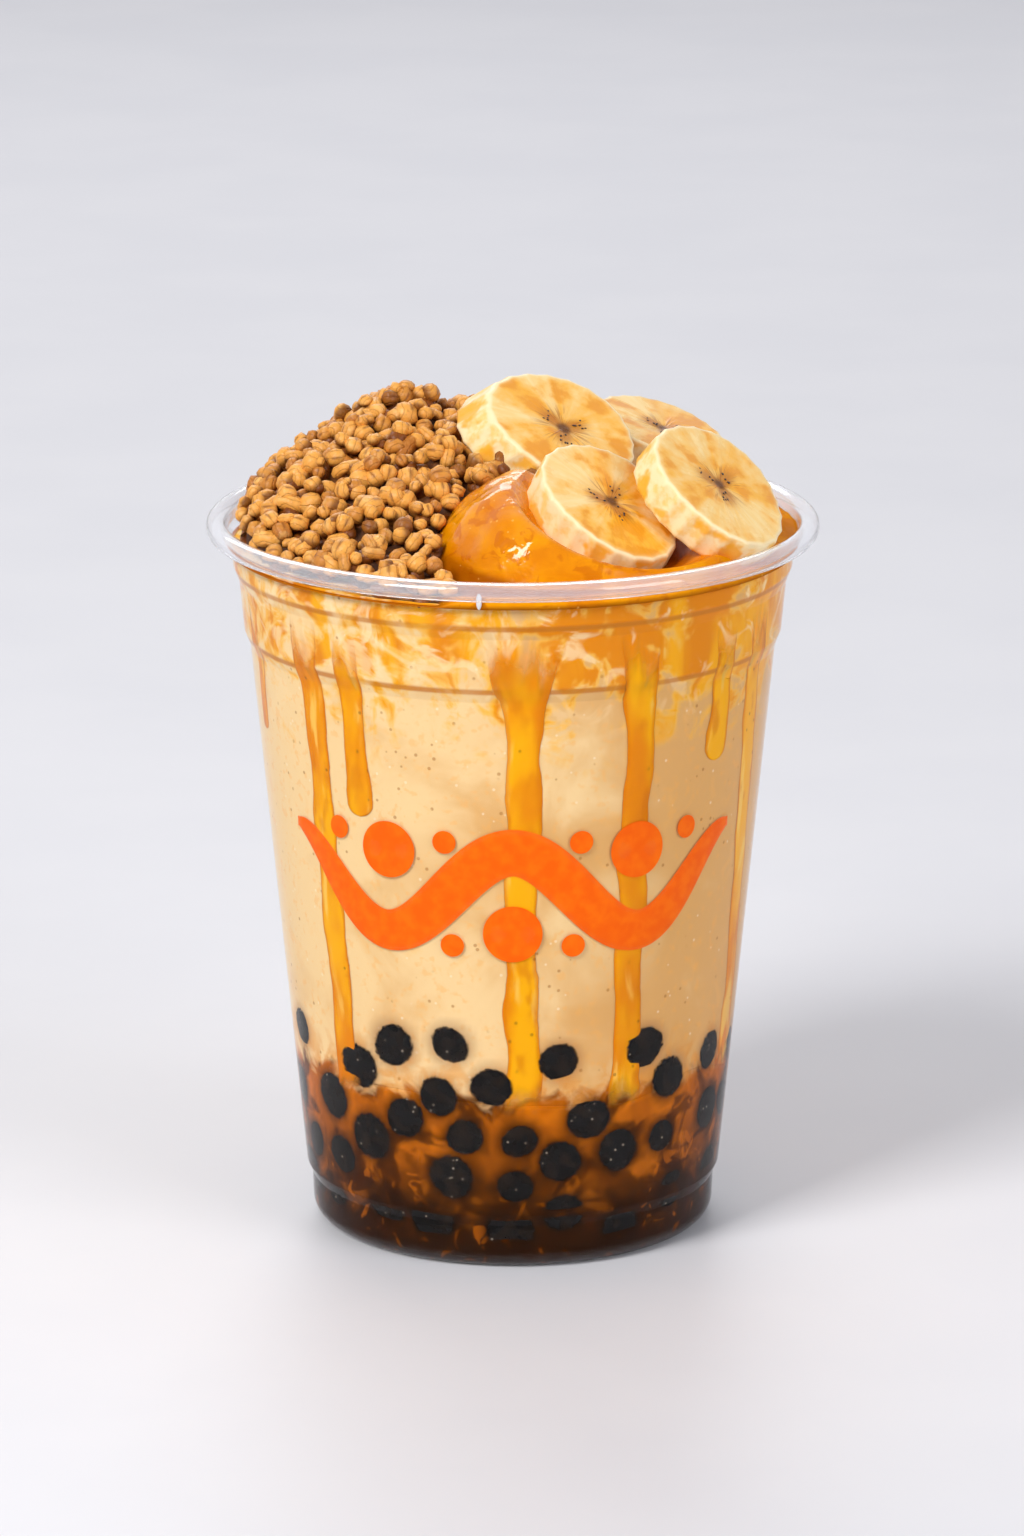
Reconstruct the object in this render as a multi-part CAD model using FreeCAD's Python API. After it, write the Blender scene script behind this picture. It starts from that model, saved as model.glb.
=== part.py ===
"""Protein shake in a clear cold cup, heaped with granola, caramel and banana slices.

Millimetres, +Z up. The origin is the centre of the cup's foot, on the surface it stands on,
and the front of the drink looks towards -Y. Each function below makes one piece, and every
piece takes its fit from the pieces it lies on.
"""

import FreeCAD, Part
import collections
import math
import os

# ---- cup: a thin tapered tub with two stacking ledges and a rolled lip ----
CUP_HEIGHT = 116.5
LIP_RADIUS = 49.0          # outside of the rolled lip
WALL = 0.4
CURL_RADIUS = 1.65         # outside radius of the roll
CURL_END = -50.0           # degrees, where the rolled edge stops below the outside of the lip
BASE_RADIUS = 32.5
BASE_ROUND = 3.0
STAND_WIDTH = 5.0          # from the side of the foot in to the raised floor
PUNT_HEIGHT = 3.0          # how far the floor is raised above the stand
PUNT_SLOPE = 2.0
FOOT_HEIGHT = 7.4
FOOT_STEP = 0.85           # the wall steps out above the foot by this
FOOT_STEP_RISE = 1.9
FOOT_DRAFT = 0.25
LIP_OVERHANG = 4.15        # from the upper band out to the outside of the lip
NECK_DROP = 3.2            # from the top of the lip down to the bottom of the neck
NECK_RISE = 1.1
BAND_DRAFT = 0.1
LEDGE_DEPTH = 0.95         # how far each ledge steps in
LEDGE_RISE = 2.5
UPPER_LEDGE_DROP = 7.6     # from the top of the lip down to each ledge
LOWER_LEDGE_DROP = 18.1
LOWER_BAND_DRAFT = 0.75

# ---- what fills the cup ----
FILL_DROP = 4.4            # from the top of the lip down to the shake
LAYER_LEVEL = 29.0         # mean height of the syrup and pearls at the bottom
LAYER_SWELL = 1.6
SURFACE_STEPS = 13         # points each way in a modelled surface
HEAP_STEPS = 45            # the same for the heap, fine enough to show its clusters

# ---- granola ----
HEAP_PEAK = (-0.35, 0.44)  # place of the peak, as shares of the mouth's radius
HEAP_HEIGHT = 19.6         # core of the heap above the shake, at its peak
HEAP_EDGE = 3.0            # core of the heap above the shake, at the wall
HEAP_CURVE = 1.2           # 1 is a cone, 2 a dome
HEAP_SWING = 0.25          # fuller by this towards -X, and leaner towards +X
HEAP_CLEARANCE = 0.25      # between the granola and the wall beside it
CLUSTER_COUNT = 230
CLUSTER_RADIUS = 2.9
CLUSTER_SPREAD = 0.8       # clusters are larger and smaller by up to this
CLUSTER_SINK = 0.25        # share of its radius that a cluster sinks into the core

# ---- caramel ----
# discs of the mouth that the caramel covers: place as shares of the mouth's radius, and radius
CARAMEL_DISCS = [((0.27, -0.66), 25.0), ((1.53, -0.22), 60.0)]
CARAMEL_POOL = 0.9         # depth of the caramel at the wall
MOUND_HEIGHT = 5.5         # under the middle of the slices
MOUND_PLACE = (0.39, 0.22)
MOUND_SPREAD = 15.0
DOME_HEIGHT = 12.4
DOME_PLACE = (-0.02, -0.39)
DOME_SPREAD = (7.5, 8.5)

# ---- banana slices, cut on the slant ----
SLICE_RADIUS = 12.4
SLICE_THICKNESS = 6.2
SLICE_EDGE = 1.4           # height of the soft edge
SLICE_EDGE_DEPTH = 0.7
FLUTES = 22
FLUTE_DEPTH = 0.35
POINTS_PER_FLUTE = 4

Slice = collections.namedtuple("Slice", "across deep rise lean bearing size slant")
# across and deep: place of the top face, as shares of the mouth's radius
# rise: of the top face's centre above the shake
# lean and bearing: degrees from level, and the side to which the face looks
# size: share of SLICE_RADIUS
# slant: how far the underside is shifted downhill and sideways, as shares of the thickness
SLICES = {
    "banana_slice_front": Slice(0.34, -0.48, 11.6, 37.8, -40, 0.99, (0.1, 0.0)),
    "banana_slice_right": Slice(0.715, -0.375, 13.2, 41.5, -34, 0.99, (0.0, 0.0)),
    "banana_slice_left": Slice(0.18, 0.09, 17.6, 32.6, -48, 1.04, (-0.42, -0.36)),
    "banana_slice_back": Slice(0.54, 0.60, 12.4, 20.3, -26, 0.93, (0.0, 0.0)),
}

# ---- worked out from the sizes above ----
LIP_LEVEL = CUP_HEIGHT - CURL_RADIUS
MOUTH_RADIUS = LIP_RADIUS - 2 * CURL_RADIUS
FILL_LEVEL = CUP_HEIGHT - FILL_DROP
TALL = 2 * CUP_HEIGHT
GOLDEN_ANGLE = math.pi * (3 - math.sqrt(5))


def point(radius, height):
    return FreeCAD.Vector(radius, 0, height)


def mouth_place(shares):
    return MOUTH_RADIUS * shares[0], MOUTH_RADIUS * shares[1]


def rounded_path(corners):
    """Edges along corners of (radius, height, fillet), in the XZ plane."""
    edges = []
    start = point(corners[0][0], corners[0][1])
    for before, corner, after in zip(corners, corners[1:], corners[2:]):
        tip = point(corner[0], corner[1])
        back = (point(before[0], before[1]) - tip).normalize()
        ahead = (point(after[0], after[1]) - tip).normalize()
        half_turn = back.getAngle(ahead) / 2
        reach = corner[2] / math.tan(half_turn)
        middle = (back + ahead).normalize() * (corner[2] / math.sin(half_turn) - corner[2])
        edges.append(Part.LineSegment(start, tip + back * reach).toShape())
        edges.append(Part.Arc(tip + back * reach, tip + middle, tip + ahead * reach).toShape())
        start = tip + ahead * reach
    edges.append(Part.LineSegment(start, point(corners[-1][0], corners[-1][1])).toShape())
    return edges


def wall_corners():
    """Outside of the wall, from the middle of the floor up to where the lip starts to roll."""
    neck = MOUTH_RADIUS + WALL
    upper = LIP_RADIUS - LIP_OVERHANG
    lower = upper - BAND_DRAFT - LEDGE_DEPTH
    body = lower - LOWER_BAND_DRAFT - LEDGE_DEPTH
    foot = BASE_RADIUS + FOOT_DRAFT
    stand = BASE_RADIUS - STAND_WIDTH
    upper_ledge = CUP_HEIGHT - UPPER_LEDGE_DROP
    lower_ledge = CUP_HEIGHT - LOWER_LEDGE_DROP
    neck_foot = CUP_HEIGHT - NECK_DROP - NECK_RISE
    return [
        (0, PUNT_HEIGHT, 0),
        (stand - PUNT_SLOPE, PUNT_HEIGHT, 1.2),
        (stand, 0, 0.8),
        (BASE_RADIUS, 0, BASE_ROUND),
        (foot, FOOT_HEIGHT, 0.3),
        (foot + FOOT_STEP, FOOT_HEIGHT + FOOT_STEP_RISE, 0.9),
        (body, lower_ledge - LEDGE_RISE, 0.8),
        (body + LEDGE_DEPTH, lower_ledge, 1.2),
        (lower, upper_ledge - LEDGE_RISE, 0.6),
        (lower + LEDGE_DEPTH, upper_ledge, 1.0),
        (upper, neck_foot, 0.5),
        (neck, neck_foot + NECK_RISE, 0.5),
        (neck, LIP_LEVEL, 0),
    ]


def curl_edge():
    """Inside of the rolled lip, over the top and down the outside."""
    centre = point(LIP_RADIUS - CURL_RADIUS, LIP_LEVEL)
    inside = CURL_RADIUS - WALL
    stops = [math.radians(angle) for angle in (180, (180 + CURL_END) / 2, CURL_END)]
    spots = [centre + point(inside * math.cos(turn), inside * math.sin(turn)) for turn in stops]
    return Part.Arc(*spots).toShape()


def turned(face):
    return face.revolve(FreeCAD.Vector(0, 0, 0), FreeCAD.Vector(0, 0, 1), 360)


def make_cup():
    """One skin of even thickness, from the floor to the end of the roll."""
    skin = Part.Wire(rounded_path(wall_corners()) + [curl_edge()])
    return turned(skin.makeOffset2D(WALL, join=2, fill=True, openResult=True))


def make_interior():
    """Everything that the wall encloses, carried straight up above the lip."""
    skin = Part.Wire(rounded_path(wall_corners()))
    inside = skin.makeOffset2D(WALL, join=2, fill=False, openResult=True)
    bottom = point(0, PUNT_HEIGHT + WALL)
    lip = point(MOUTH_RADIUS, LIP_LEVEL)
    closing = Part.makePolygon([lip, point(MOUTH_RADIUS, TALL), point(0, TALL), bottom])
    outline = Part.sortEdges(inside.Edges + closing.Edges)[0]
    return turned(Part.Face(Part.Wire(outline)))


def slab(bottom, top):
    return Part.makeCylinder(2 * LIP_RADIUS, top - bottom, FreeCAD.Vector(0, 0, bottom))


def below_surface(height, count=SURFACE_STEPS):
    """All that lies under height(x, y), as a solid wider than the cup."""
    half = 1.1 * LIP_RADIUS
    steps = [half * (2 * i / (count - 1) - 1) for i in range(count)]
    surface = Part.BSplineSurface()
    surface.interpolate([[FreeCAD.Vector(x, y, height(x, y)) for y in steps] for x in steps])
    return surface.toShape().extrude(FreeCAD.Vector(0, 0, -TALL))


def layer_height(x, y):
    swell = math.sin(x / 9 + 0.6) * math.cos(y / 11) + 0.5 * math.sin((x + y) / 6)
    return LAYER_LEVEL + LAYER_SWELL * swell


def wall_share(x, y, centre):
    """How far a place lies from centre towards the mouth's edge: 0 at centre, 1 at the edge."""
    away = math.hypot(x - centre[0], y - centre[1])
    if away == 0:
        return 0
    along = ((x - centre[0]) * centre[0] + (y - centre[1]) * centre[1]) / away
    square = centre[0] ** 2 + centre[1] ** 2
    return away / (math.sqrt(along ** 2 + MOUTH_RADIUS ** 2 - square) - along)


def heap_height(x, y):
    peak = mouth_place(HEAP_PEAK)
    share = min(wall_share(x, y, peak), 1.4)
    away = math.hypot(x - peak[0], y - peak[1]) or 1
    curve = HEAP_CURVE - HEAP_SWING * (x - peak[0]) / away
    return FILL_LEVEL + HEAP_EDGE + (HEAP_HEIGHT - HEAP_EDGE) * (1 - share ** curve)


def caramel_height(x, y):
    mound = mouth_place(MOUND_PLACE)
    dome = mouth_place(DOME_PLACE)
    mound_fall = ((x - mound[0]) ** 2 + (y - mound[1]) ** 2) / (2 * MOUND_SPREAD ** 2)
    dome_fall = ((x - dome[0]) / DOME_SPREAD[0]) ** 2 / 2 + ((y - dome[1]) / DOME_SPREAD[1]) ** 2 / 2
    swell = MOUND_HEIGHT * math.exp(-mound_fall) + DOME_HEIGHT * math.exp(-dome_fall)
    return FILL_LEVEL + CARAMEL_POOL + swell


def caramel_zone():
    """The part of the mouth that the caramel covers: the rest belongs to the granola."""
    discs = []
    for shares, radius in CARAMEL_DISCS:
        x, y = mouth_place(shares)
        discs.append(Part.makeCylinder(radius, TALL, FreeCAD.Vector(x, y, 0)))
    return discs[0].fuse(discs[1:])


def caramel_distance(x, y):
    """How far a place lies outside the caramel, or less than 0 inside it."""
    centres = [(mouth_place(shares), radius) for shares, radius in CARAMEL_DISCS]
    return min(math.hypot(x - centre[0], y - centre[1]) - radius for centre, radius in centres)


def slice_ring(radius, height, inset, slant):
    """One ring of a banana slice: slightly three-sided, with fluted flesh."""
    count = FLUTES * POINTS_PER_FLUTE
    spots = []
    for i in range(count):
        turn = 2 * math.pi * i / count
        lobed = radius * (1 + 0.03 * math.cos(3 * turn + 0.5) + 0.03 * math.cos(2 * turn))
        fluted = lobed - FLUTE_DEPTH * abs(math.cos(FLUTES * turn / 2)) - inset
        x = fluted * math.cos(turn) - height * slant[0]
        y = fluted * math.sin(turn) - height * slant[1]
        spots.append(FreeCAD.Vector(x, y, height))
    curve = Part.BSplineCurve()
    curve.interpolate(Points=spots, PeriodicFlag=True)
    return Part.Wire([curve.toShape()])


def make_slice(cut):
    """A slice whose top face is centred on its place and tips down towards its bearing."""
    edge = [(0, 1), (0.35, 0.3), (1, 0)]
    under = [(SLICE_EDGE * up - SLICE_THICKNESS, SLICE_EDGE_DEPTH * deep) for up, deep in edge]
    over = [(-SLICE_EDGE * up, SLICE_EDGE_DEPTH * deep) for up, deep in reversed(edge)]
    radius = SLICE_RADIUS * cut.size
    rings = [slice_ring(radius, height, inset, cut.slant) for height, inset in under + over]
    body = Part.makeLoft(rings, True, False)
    x, y = mouth_place((cut.across, cut.deep))
    tip = FreeCAD.Rotation(FreeCAD.Vector(0, 1, 0), cut.lean)
    swing = FreeCAD.Rotation(FreeCAD.Vector(0, 0, 1), cut.bearing)
    body.Placement = FreeCAD.Placement(FreeCAD.Vector(x, y, FILL_LEVEL + cut.rise), swing * tip)
    return body


def make_slices(cup):
    """The slices in the order they were laid, each pressed against the ones before it."""
    laid = {}
    for name, cut in SLICES.items():
        laid[name] = make_slice(cut).cut([cup, *laid.values()])
    return laid


def cluster_places():
    """Centres and radii of the granola clusters, on a spiral that covers the heap evenly."""
    peak = mouth_place(HEAP_PEAK)
    for i in range(CLUSTER_COUNT):
        turn = i * GOLDEN_ANGLE
        radius = CLUSTER_RADIUS + CLUSTER_SPREAD * math.sin(1.7 * i)
        reach = 1 / wall_share(peak[0] + math.cos(turn), peak[1] + math.sin(turn), peak)
        away = reach * math.sqrt((i + 0.5) / CLUSTER_COUNT)
        x = peak[0] + away * math.cos(turn)
        y = peak[1] + away * math.sin(turn)
        pull = min(1, (MOUTH_RADIUS - 1.5 - radius) / math.hypot(x, y))
        if caramel_distance(pull * x, pull * y) > 0.4 * radius:
            yield pull * x, pull * y, radius


def make_heap(slices):
    """Granola: a core with rounded clusters over all of it, cut round what lies in it."""
    clusters = list(cluster_places())

    def lumpy_height(x, y):
        tops = [heap_height(x, y)]
        for centre_x, centre_y, radius in clusters:
            square = radius ** 2 - (x - centre_x) ** 2 - (y - centre_y) ** 2
            if square > 0:
                low = heap_height(centre_x, centre_y) - CLUSTER_SINK * radius
                tops.append(low + math.sqrt(square))
        return max(tops)

    reach = LIP_RADIUS - LIP_OVERHANG - WALL - HEAP_CLEARANCE
    room = Part.makeCylinder(reach, TALL - FILL_LEVEL, FreeCAD.Vector(0, 0, FILL_LEVEL))
    heap = below_surface(lumpy_height, HEAP_STEPS).common(room)
    return heap.cut([caramel_zone(), *slices])


def make_caramel(interior, slices):
    body = below_surface(caramel_height).common(interior).common(slab(FILL_LEVEL, TALL))
    return body.common(caramel_zone()).cut(slices)


def save(name, shape):
    solids = shape.Solids
    biggest = max(solids, key=lambda solid: solid.Volume)
    print(name, len(solids), "solid", round(biggest.Volume), "mm3", biggest.isValid())
    biggest.exportStep("parts/" + name + ".step")


def main():
    os.makedirs("parts", exist_ok=True)
    cup = make_cup()
    interior = make_interior()
    slices = make_slices(cup)
    laid = list(slices.values())
    layer = below_surface(layer_height)
    drink = interior.common(slab(0, FILL_LEVEL))
    save("cup", cup)
    save("pearl_syrup", drink.common(layer))
    save("shake", drink.cut([layer, *laid]))
    save("granola_heap", make_heap(laid))
    save("caramel", make_caramel(interior, laid))
    for name, body in slices.items():
        save(name, body)


main()
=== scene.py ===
"""A protein shake in a clear cup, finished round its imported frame.

Shapes are worked out in millimetres, and each finished piece is scaled to metres.
"""

import collections
import math
import random

import bmesh
import bpy
from mathutils import Matrix, Vector, noise
from mathutils.bvhtree import BVHTree


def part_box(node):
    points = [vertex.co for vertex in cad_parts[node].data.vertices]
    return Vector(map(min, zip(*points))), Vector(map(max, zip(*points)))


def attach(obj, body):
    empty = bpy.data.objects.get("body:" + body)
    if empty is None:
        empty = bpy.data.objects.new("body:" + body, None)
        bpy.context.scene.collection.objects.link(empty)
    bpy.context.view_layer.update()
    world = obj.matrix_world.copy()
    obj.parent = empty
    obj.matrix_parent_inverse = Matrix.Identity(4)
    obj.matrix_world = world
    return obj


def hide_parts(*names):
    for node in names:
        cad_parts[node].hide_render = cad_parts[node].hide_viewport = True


bl_info = {
    "name": "Protein shake",
    "version": (1, 0, 0),
    "blender": (4, 5, 0),
    "location": "View3D > Sidebar > Protein shake",
    "description": "Finishes the packed protein shake: cup, drink, sauce, granola, banana and stage",
    "category": "Add Mesh",
}

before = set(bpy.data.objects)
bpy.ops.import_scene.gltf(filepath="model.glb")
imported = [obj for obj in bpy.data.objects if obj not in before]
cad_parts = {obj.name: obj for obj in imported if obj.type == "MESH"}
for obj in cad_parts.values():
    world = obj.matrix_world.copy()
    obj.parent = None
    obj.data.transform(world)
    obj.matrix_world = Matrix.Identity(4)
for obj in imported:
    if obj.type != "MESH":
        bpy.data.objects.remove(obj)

MM = 0.001


def frame_box(node):
    low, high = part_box(node)
    return low / MM, high / MM


# ---- sizes of the frame, in millimetres ----
CUP_HEIGHT = round(frame_box("cup")[1].z, 1)
LIP_RADIUS = frame_box("cup")[1].x
FILL_LEVEL = frame_box("shake")[1].z
WALL = 0.4
CURL_RADIUS = 1.65
CURL_END = math.radians(-50)
MOUTH_RADIUS = LIP_RADIUS - 2 * CURL_RADIUS
PEARL_WALL = 34.41         # radius of the wall where the pearls lie, for spacing them round it
LAYER_LEVEL = 29.0         # mean height of the syrup
LAYER_REACH = 12.0         # how far above and below it the surface still swells
BASE_ROUND = 3.0
LEDGES = (CUP_HEIGHT - 7.6, CUP_HEIGHT - 18.1)
MARK_PLACE = (-5.2, CUP_HEIGHT - 3.4)    # of the moulding mark: arc from the front, and height
MARK_HALF_SIZE = (0.45, 0.22, 1.3)

# how deep things lie behind the outside of the wall: the print is on it, the rest is inside
FILL_DEPTH = 0.3
PEARL_DEPTH = 0.06
RUN_DEPTH = 0.14
PRINT_DEPTH = -0.05
TUCK = 0.12                # how much deeper the edges of a thin patch lie than its middle


# ---- shader arithmetic ----

class Value:
    """A node's output that takes part in Python arithmetic by adding Math nodes."""

    def __init__(self, finish, socket):
        self.finish = finish
        self.socket = socket

    def __add__(self, other):
        return self.finish.maths("ADD", self, other)

    def __sub__(self, other):
        return self.finish.maths("SUBTRACT", self, other)

    def __rsub__(self, other):
        return self.finish.maths("SUBTRACT", other, self)

    def __mul__(self, other):
        return self.finish.maths("MULTIPLY", self, other)

    def __truediv__(self, other):
        return self.finish.maths("DIVIDE", self, other)

    __radd__ = __add__
    __rmul__ = __mul__


class Finish:
    """A material, or the world, and the nodes that make it up."""

    def __init__(self, name, kind="materials"):
        self.made = getattr(bpy.data, kind).new(name)
        self.made.use_nodes = True
        self.tree = self.made.node_tree
        self.tree.nodes.clear()

    def node(self, kind, settings=None, inputs=None, output=0):
        """Adds a node, with its settings first and then the values or links of its sockets."""
        node = self.tree.nodes.new(kind)
        for key, setting in (settings or {}).items():
            setattr(node, key, setting)
        for key, value in (inputs or {}).items():
            if isinstance(value, Value):
                self.tree.links.new(value.socket, node.inputs[key])
            else:
                node.inputs[key].default_value = value
        return Value(self, node.outputs[output]) if node.outputs else None

    def maths(self, operation, first, second=0.0):
        settings = {"operation": operation}
        return self.node("ShaderNodeMath", settings, {0: first, 1: second})

    def step(self, value, low, high):
        """0 below low and 1 above high, smoothly; low may be the larger."""
        settings = {"interpolation_type": "SMOOTHSTEP"}
        ends = {"Value": value, "From Min": low, "From Max": high}
        return self.node("ShaderNodeMapRange", settings, ends)

    def larger(self, first, second):
        return self.maths("MAXIMUM", first, second)

    def mix(self, factor, first, second):
        """A colour between two colours."""
        ends = {0: factor, 6: flat(first), 7: flat(second)}
        return self.node("ShaderNodeMix", {"data_type": "RGBA"}, ends, output=2)

    def layered(self, body, *coats):
        """A colour with coats of (mask, colour) laid over it in turn."""
        for mask, colour in coats:
            body = self.mix(mask, body, colour)
        return body

    def shader_between(self, factor, first, second):
        return self.node("ShaderNodeMixShader", inputs={0: factor, 1: first, 2: second})

    def ray(self, kind):
        """1 for rays of one kind, such as Camera or Shadow, and 0 for the rest."""
        return self.node("ShaderNodeLightPath", output=f"Is {kind} Ray")

    def place(self):
        return self.node("ShaderNodeTexCoord", output=3)

    def part(self, name):
        """One of a place's three parts, X, Y or Z."""
        return self.node("ShaderNodeSeparateXYZ", inputs={0: self.place()}, output=name)

    def height(self):
        """Height above the table in millimetres."""
        return self.part("Z") * 1000

    def attribute(self, name):
        return self.node("ShaderNodeAttribute", {"attribute_name": name}, output=2)

    def vector(self, x, y, z):
        return self.node("ShaderNodeCombineXYZ", inputs={0: x, 1: y, 2: z})

    def stretched(self, scale, shift=(0, 0, 0)):
        """Object coordinates stretched, for a pattern with a grain."""
        inputs = {"Vector": self.place(), "Scale": scale, "Location": shift}
        return self.node("ShaderNodeMapping", inputs=inputs)

    def noise(self, size, detail=3.0, place=None, distortion=0.0):
        """Soft noise from 0 to 1, whose features are about size millimetres across."""
        inputs = {
            "Vector": place or self.place(),
            "Scale": 1 / (size * MM),
            "Detail": detail,
            "Distortion": distortion,
        }
        return self.node("ShaderNodeTexNoise", inputs=inputs)

    def pattern(self, place, scale, detail=4.0):
        """Soft noise from 0 to 1 in coordinates of the finish's own making."""
        inputs = {"Vector": place, "Scale": scale, "Detail": detail}
        return self.node("ShaderNodeTexNoise", inputs=inputs)

    def cells(self, size, feature="F1"):
        """Distance from the middles of cells about size millimetres across."""
        inputs = {"Vector": self.place(), "Scale": 1 / (size * MM)}
        return self.node("ShaderNodeTexVoronoi", {"feature": feature}, inputs)

    def bump(self, height, strength, depth):
        """A normal from a height of 0 to 1, depth in millimetres."""
        inputs = {"Strength": strength, "Distance": depth * MM, "Height": height}
        return self.node("ShaderNodeBump", inputs=inputs)

    def principled(self, **sockets):
        inputs = {}
        for key, value in sockets.items():
            name = key.replace("_", " ").title().replace("Ior", "IOR")
            inputs[name] = flat(value) if name.endswith("Color") else value
        return self.node("ShaderNodeBsdfPrincipled", inputs=inputs)

    def background(self, colour, strength):
        inputs = {"Color": flat(colour), "Strength": strength}
        return self.node("ShaderNodeBackground", inputs=inputs)

    def close(self, shader, output="ShaderNodeOutputMaterial"):
        self.node(output, inputs={"Surface": shader})
        return self.made

    def finished(self, **sockets):
        """The material, closed with a single principled shader."""
        return self.close(self.principled(**sockets))


def flat(colour):
    """A colour of three parts as the four that a socket takes."""
    if isinstance(colour, Value):
        return colour
    return (*colour[:3], 1.0)


def paint(red, green, blue):
    """A colour as it should look, from 0 to 255, as the shader's linear light."""
    return tuple(part_light(part / 255) for part in (red, green, blue))


def part_light(part):
    return part / 12.92 if part <= 0.04045 else ((part + 0.055) / 1.055) ** 2.4


# ---- settings ----

def colour_setting(name, description, colour):
    return bpy.props.FloatVectorProperty(
        name=name, description=description, default=colour, subtype="COLOR", size=3, min=0, max=1)


def length_setting(name, description, length):
    return bpy.props.FloatProperty(
        name=name, description=description, default=length * MM, unit="LENGTH", min=0, precision=5)


def count_setting(name, description, count):
    return bpy.props.IntProperty(name=name, description=description, default=count, min=1)


class CupSettings(bpy.types.PropertyGroup):
    turns: count_setting("Steps round", "Steps in a full turn of the cup's wall", 224)
    plastic: colour_setting("Plastic", "Tint of the clear plastic", paint(250, 251, 254))
    print_colour: colour_setting("Print", "Colour of the printed pattern", paint(250, 98, 0))


class DrinkSettings(bpy.types.PropertyGroup):
    turns: count_setting("Steps round", "Steps in a full turn of the drink's surface", 256)
    cream: colour_setting("Cream", "Palest colour of the shake", paint(246, 210, 152))
    shake: colour_setting("Shake", "Main colour of the shake", paint(225, 171, 104))
    syrup: colour_setting("Syrup", "Syrup just under the shake", paint(186, 96, 4))
    deep_syrup: colour_setting("Deep syrup", "Syrup at the bottom", paint(46, 19, 2))
    pearl: colour_setting("Pearl", "Cooked pearls", paint(9, 7, 6))
    pearl_radius: length_setting("Pearl radius", "Mean radius of a cooked pearl", 3.3)
    pearl_spacing: length_setting("Pearl spacing", "Least distance between pearls", 7.4)


class SauceSettings(bpy.types.PropertyGroup):
    turns: count_setting("Steps round", "Steps in a full turn of the sauce's surface", 256)
    caramel: colour_setting("Caramel", "Main colour of the caramel", paint(222, 128, 0))
    deep_caramel: colour_setting("Deep caramel", "Caramel where it lies deep", paint(156, 76, 0))
    runs: colour_setting("Runs", "Caramel run down inside the wall", paint(251, 176, 4))


class GranolaSettings(bpy.types.PropertyGroup):
    bead: length_setting("Bead radius", "Mean radius of a granola bead", 1.46)
    spacing: length_setting("Spacing", "Least distance between beads", 2.34)
    baked: colour_setting("Baked", "Main colour of the baked oats", paint(238, 168, 74))
    toasted: colour_setting("Toasted", "Darker, toasted colour", paint(176, 100, 24))


class BananaSettings(bpy.types.PropertyGroup):
    turns: count_setting("Steps round", "Steps in a full turn of a slice", 176)
    flesh: colour_setting("Flesh", "Colour of the cut flesh", paint(248, 214, 146))
    core: colour_setting("Core", "Colour near the middle", paint(232, 176, 84))
    glaze: colour_setting("Glaze", "Caramel that has soaked in", paint(246, 174, 12))


class StageSettings(bpy.types.PropertyGroup):
    floor: colour_setting("Floor", "Colour of the floor", paint(225, 225, 230))
    key_power: bpy.props.FloatProperty(
        name="Key power", description="Power of the key lamp in watts", default=19, min=0)


SETTINGS = {
    "shake_cup": CupSettings,
    "shake_drink": DrinkSettings,
    "shake_sauce": SauceSettings,
    "shake_granola": GranolaSettings,
    "shake_banana": BananaSettings,
    "shake_stage": StageSettings,
}


# ---- making pieces ----

def settle(bm, name, material, replaced=()):
    """Turns a finished shape in millimetres into a smooth piece of the object."""
    bmesh.ops.scale(bm, vec=(MM, MM, MM), verts=bm.verts)
    mesh = bpy.data.meshes.new(name)
    bm.to_mesh(mesh)
    bm.free()
    mesh.shade_smooth()
    mesh.materials.append(material)
    piece = bpy.data.objects.new(name, mesh)
    bpy.context.scene.collection.objects.link(piece)
    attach(piece, "root")
    if replaced:
        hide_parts(*replaced)
    return piece


def number_layer(bm, name):
    """A number kept at each corner of a shape, under the name that its finish reads."""
    return bm.verts.layers.float.get(name) or bm.verts.layers.float.new(name)


def revolve(chain, turns):
    """A shape turned round the upright axis from (radius, height) points."""
    bm = bmesh.new()
    spots = [bm.verts.new((spot[0], 0, spot[1])) for spot in chain]
    lines = [bm.edges.new(pair) for pair in zip(spots, spots[1:])]
    bmesh.ops.spin(
        bm, geom=spots + lines, cent=(0, 0, 0), axis=(0, 0, 1),
        angle=2 * math.pi, steps=turns, use_merge=True)
    bmesh.ops.remove_doubles(bm, verts=bm.verts, dist=1e-4)
    bmesh.ops.recalc_face_normals(bm, faces=bm.faces)
    return bm


def rounded(corners, steps=5):
    """Points along corners of (radius, height, fillet), each corner turned by an arc."""
    points = [Vector(corners[0][:2])]
    for before, corner, after in zip(corners, corners[1:], corners[2:]):
        tip = Vector(corner[:2])
        back = (Vector(before[:2]) - tip).normalized()
        ahead = (Vector(after[:2]) - tip).normalized()
        half = back.angle(ahead) / 2
        centre = tip + (back + ahead).normalized() * corner[2] / math.sin(half)
        start = tip + back * corner[2] / math.tan(half) - centre
        side = 1 if back.x * ahead.y - back.y * ahead.x < 0 else -1
        for i in range(steps + 1):
            turn = side * (math.pi - 2 * half) * i / steps
            points.append(centre + Matrix.Rotation(turn, 2) @ start)
    return points + [Vector(corners[-1][:2])]


def filled_in(points, gap):
    """The same line with points no further than gap apart."""
    line = [points[0]]
    for low, high in zip(points, points[1:]):
        count = max(1, math.ceil((high - low).length / gap))
        line += [low.lerp(high, (i + 1) / count) for i in range(count)]
    return line


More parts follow.
